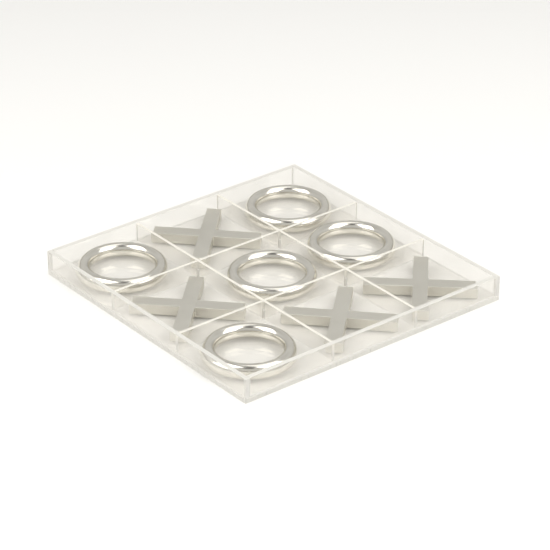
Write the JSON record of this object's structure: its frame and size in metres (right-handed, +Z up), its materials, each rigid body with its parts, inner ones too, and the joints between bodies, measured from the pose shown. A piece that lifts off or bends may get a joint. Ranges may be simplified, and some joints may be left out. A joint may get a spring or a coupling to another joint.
{
  "type": "tic tac toe set",
  "caption": "Clear square tray with low walls and crossing dividers that form a grid of cells, each holding a loose metal ring or a loose metal cross.",
  "frame": {"origin": "centre of the tray's underside", "axes": "+Z up out of the cells, +X and +Y along the tray's sides"},
  "size_m": [0.3048, 0.3048, 0.0254],
  "materials": {
    "clear_acrylic": "clear cast acrylic sheet with polished edges",
    "polished_metal": "polished, warm silver",
    "satin_metal": "fine satin, warm grey"
  },
  "bodies": {
    "tray": {"base_plate": "clear_acrylic", "wall_left": "clear_acrylic", "wall_right": "clear_acrylic", "wall_front": "clear_acrylic", "wall_back": "clear_acrylic", "divider_x_front": "clear_acrylic", "divider_x_back": "clear_acrylic", "divider_y_left": "clear_acrylic", "divider_y_right": "clear_acrylic"},
    "ring_left_back": {"ring_left_back": "polished_metal"},
    "ring_right_back": {"ring_right_back": "polished_metal"},
    "ring_centre": {"ring_centre": "polished_metal"},
    "ring_right": {"ring_right": "polished_metal"},
    "ring_left_front": {"ring_left_front": "polished_metal"},
    "cross_back": {"cross_back": "satin_metal"},
    "cross_left": {"cross_left": "satin_metal"},
    "cross_front": {"cross_front": "satin_metal"},
    "cross_right_front": {"cross_right_front": "satin_metal"}
  },
  "joints": [
    {"name": "lift_ring_left_back", "type": "slide", "parent": "tray", "child": "ring_left_back", "axis": [0, 0, 1], "range_m": [0, 0.05]},
    {"name": "lift_ring_right_back", "type": "slide", "parent": "tray", "child": "ring_right_back", "axis": [0, 0, 1], "range_m": [0, 0.05]},
    {"name": "lift_ring_centre", "type": "slide", "parent": "tray", "child": "ring_centre", "axis": [0, 0, 1], "range_m": [0, 0.05]},
    {"name": "lift_ring_right", "type": "slide", "parent": "tray", "child": "ring_right", "axis": [0, 0, 1], "range_m": [0, 0.05]},
    {"name": "lift_ring_left_front", "type": "slide", "parent": "tray", "child": "ring_left_front", "axis": [0, 0, 1], "range_m": [0, 0.05]},
    {"name": "lift_cross_back", "type": "slide", "parent": "tray", "child": "cross_back", "axis": [0, 0, 1], "range_m": [0, 0.05]},
    {"name": "lift_cross_left", "type": "slide", "parent": "tray", "child": "cross_left", "axis": [0, 0, 1], "range_m": [0, 0.05]},
    {"name": "lift_cross_front", "type": "slide", "parent": "tray", "child": "cross_front", "axis": [0, 0, 1], "range_m": [0, 0.05]},
    {"name": "lift_cross_right_front", "type": "slide", "parent": "tray", "child": "cross_right_front", "axis": [0, 0, 1], "range_m": [0, 0.05]}
  ]
}
